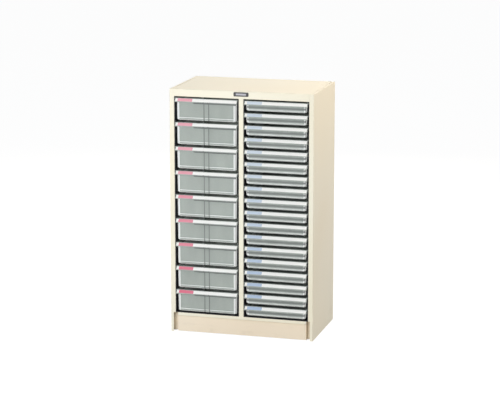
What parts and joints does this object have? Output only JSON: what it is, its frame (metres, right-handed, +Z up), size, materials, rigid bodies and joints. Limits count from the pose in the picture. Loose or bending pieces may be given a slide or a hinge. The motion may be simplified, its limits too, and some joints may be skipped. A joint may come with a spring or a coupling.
{
  "type": "floor drawer cabinet",
  "caption": "Two-column floor cabinet with clear sliding trays for sheet papers in a painted steel case, deep trays on the left and shallow trays on the right.",
  "frame": {"origin": "middle of the footprint on the floor", "axes": "+Z up, the drawer fronts face -Y and the drawers pull out along -Y, X runs across the width"},
  "size_m": [0.537, 0.335, 0.905],
  "materials": {
    "ivory_steel": "satin ivory paint",
    "runner_plastic": "matt black moulded plastic",
    "clear_plastic": "clear moulded plastic, faintly grey-green",
    "zinc_steel": "zinc plated",
    "plate_black": "black",
    "plate_grey": "satin grey",
    "label_card": "white card",
    "index_red": "printed red",
    "index_blue": "printed pale blue"
  },
  "bodies": {
    "case": {"back_panel": "ivory_steel", "back_screws": "zinc_steel", "bay_liner_left": "runner_plastic", "bay_liner_right": "runner_plastic", "bottom_panel": "ivory_steel", "centre_partition": "ivory_steel", "header_rail": "ivory_steel", "kickboard": "ivory_steel", "left_side_panel": "ivory_steel", "name_plate": "plate_black", "name_plate_insert": "plate_grey", "rear_base_rail": "ivory_steel", "right_side_panel": "ivory_steel", "runner_left_inner": "runner_plastic", "runner_left_outer": "runner_plastic", "runner_right_inner": "runner_plastic", "runner_right_outer": "runner_plastic", "top_panel": "ivory_steel"},
    "deep_drawer_1": {"deep_drawer_1": "clear_plastic"},
    "deep_drawer_2": {"deep_drawer_2": "clear_plastic"},
    "deep_drawer_3": {"deep_drawer_3": "clear_plastic"},
    "deep_drawer_4": {"deep_drawer_4": "clear_plastic"},
    "deep_drawer_5": {"deep_drawer_5": "clear_plastic"},
    "deep_drawer_6": {"deep_drawer_6": "clear_plastic"},
    "deep_drawer_7": {"deep_drawer_7": "clear_plastic"},
    "deep_drawer_8": {"deep_drawer_8": "clear_plastic"},
    "deep_drawer_9": {"deep_drawer_9": "clear_plastic"},
    "shallow_drawer_1": {"shallow_drawer_1": "clear_plastic"},
    "shallow_drawer_2": {"shallow_drawer_2": "clear_plastic"},
    "shallow_drawer_3": {"shallow_drawer_3": "clear_plastic"},
    "shallow_drawer_4": {"shallow_drawer_4": "clear_plastic"},
    "shallow_drawer_5": {"shallow_drawer_5": "clear_plastic"},
    "shallow_drawer_6": {"shallow_drawer_6": "clear_plastic"},
    "shallow_drawer_7": {"shallow_drawer_7": "clear_plastic"},
    "shallow_drawer_8": {"shallow_drawer_8": "clear_plastic"},
    "shallow_drawer_9": {"shallow_drawer_9": "clear_plastic"},
    "shallow_drawer_10": {"shallow_drawer_10": "clear_plastic"},
    "shallow_drawer_11": {"shallow_drawer_11": "clear_plastic"},
    "shallow_drawer_12": {"shallow_drawer_12": "clear_plastic"},
    "shallow_drawer_13": {"shallow_drawer_13": "clear_plastic"},
    "shallow_drawer_14": {"shallow_drawer_14": "clear_plastic"},
    "shallow_drawer_15": {"shallow_drawer_15": "clear_plastic"},
    "shallow_drawer_16": {"shallow_drawer_16": "clear_plastic"},
    "shallow_drawer_17": {"shallow_drawer_17": "clear_plastic"},
    "shallow_drawer_18": {"shallow_drawer_18": "clear_plastic"}
  },
  "joints": [
    {"name": "deep_drawer_1_slide", "type": "slide", "parent": "case", "child": "deep_drawer_1", "axis": [0, -1, 0], "range_m": [0, 0.23]},
    {"name": "deep_drawer_2_slide", "type": "slide", "parent": "case", "child": "deep_drawer_2", "axis": [0, -1, 0], "range_m": [0, 0.23]},
    {"name": "deep_drawer_3_slide", "type": "slide", "parent": "case", "child": "deep_drawer_3", "axis": [0, -1, 0], "range_m": [0, 0.23]},
    {"name": "deep_drawer_4_slide", "type": "slide", "parent": "case", "child": "deep_drawer_4", "axis": [0, -1, 0], "range_m": [0, 0.23]},
    {"name": "deep_drawer_5_slide", "type": "slide", "parent": "case", "child": "deep_drawer_5", "axis": [0, -1, 0], "range_m": [0, 0.23]},
    {"name": "deep_drawer_6_slide", "type": "slide", "parent": "case", "child": "deep_drawer_6", "axis": [0, -1, 0], "range_m": [0, 0.23]},
    {"name": "deep_drawer_7_slide", "type": "slide", "parent": "case", "child": "deep_drawer_7", "axis": [0, -1, 0], "range_m": [0, 0.23]},
    {"name": "deep_drawer_8_slide", "type": "slide", "parent": "case", "child": "deep_drawer_8", "axis": [0, -1, 0], "range_m": [0, 0.23]},
    {"name": "deep_drawer_9_slide", "type": "slide", "parent": "case", "child": "deep_drawer_9", "axis": [0, -1, 0], "range_m": [0, 0.23]},
    {"name": "shallow_drawer_1_slide", "type": "slide", "parent": "case", "child": "shallow_drawer_1", "axis": [0, -1, 0], "range_m": [0, 0.23]},
    {"name": "shallow_drawer_2_slide", "type": "slide", "parent": "case", "child": "shallow_drawer_2", "axis": [0, -1, 0], "range_m": [0, 0.23]},
    {"name": "shallow_drawer_3_slide", "type": "slide", "parent": "case", "child": "shallow_drawer_3", "axis": [0, -1, 0], "range_m": [0, 0.23]},
    {"name": "shallow_drawer_4_slide", "type": "slide", "parent": "case", "child": "shallow_drawer_4", "axis": [0, -1, 0], "range_m": [0, 0.23]},
    {"name": "shallow_drawer_5_slide", "type": "slide", "parent": "case", "child": "shallow_drawer_5", "axis": [0, -1, 0], "range_m": [0, 0.23]},
    {"name": "shallow_drawer_6_slide", "type": "slide", "parent": "case", "child": "shallow_drawer_6", "axis": [0, -1, 0], "range_m": [0, 0.23]},
    {"name": "shallow_drawer_7_slide", "type": "slide", "parent": "case", "child": "shallow_drawer_7", "axis": [0, -1, 0], "range_m": [0, 0.23]},
    {"name": "shallow_drawer_8_slide", "type": "slide", "parent": "case", "child": "shallow_drawer_8", "axis": [0, -1, 0], "range_m": [0, 0.23]},
    {"name": "shallow_drawer_9_slide", "type": "slide", "parent": "case", "child": "shallow_drawer_9", "axis": [0, -1, 0], "range_m": [0, 0.23]},
    {"name": "shallow_drawer_10_slide", "type": "slide", "parent": "case", "child": "shallow_drawer_10", "axis": [0, -1, 0], "range_m": [0, 0.23]},
    {"name": "shallow_drawer_11_slide", "type": "slide", "parent": "case", "child": "shallow_drawer_11", "axis": [0, -1, 0], "range_m": [0, 0.23]},
    {"name": "shallow_drawer_12_slide", "type": "slide", "parent": "case", "child": "shallow_drawer_12", "axis": [0, -1, 0], "range_m": [0, 0.23]},
    {"name": "shallow_drawer_13_slide", "type": "slide", "parent": "case", "child": "shallow_drawer_13", "axis": [0, -1, 0], "range_m": [0, 0.23]},
    {"name": "shallow_drawer_14_slide", "type": "slide", "parent": "case", "child": "shallow_drawer_14", "axis": [0, -1, 0], "range_m": [0, 0.23]},
    {"name": "shallow_drawer_15_slide", "type": "slide", "parent": "case", "child": "shallow_drawer_15", "axis": [0, -1, 0], "range_m": [0, 0.23]},
    {"name": "shallow_drawer_16_slide", "type": "slide", "parent": "case", "child": "shallow_drawer_16", "axis": [0, -1, 0], "range_m": [0, 0.23]},
    {"name": "shallow_drawer_17_slide", "type": "slide", "parent": "case", "child": "shallow_drawer_17", "axis": [0, -1, 0], "range_m": [0, 0.23]},
    {"name": "shallow_drawer_18_slide", "type": "slide", "parent": "case", "child": "shallow_drawer_18", "axis": [0, -1, 0], "range_m": [0, 0.23]}
  ]
}
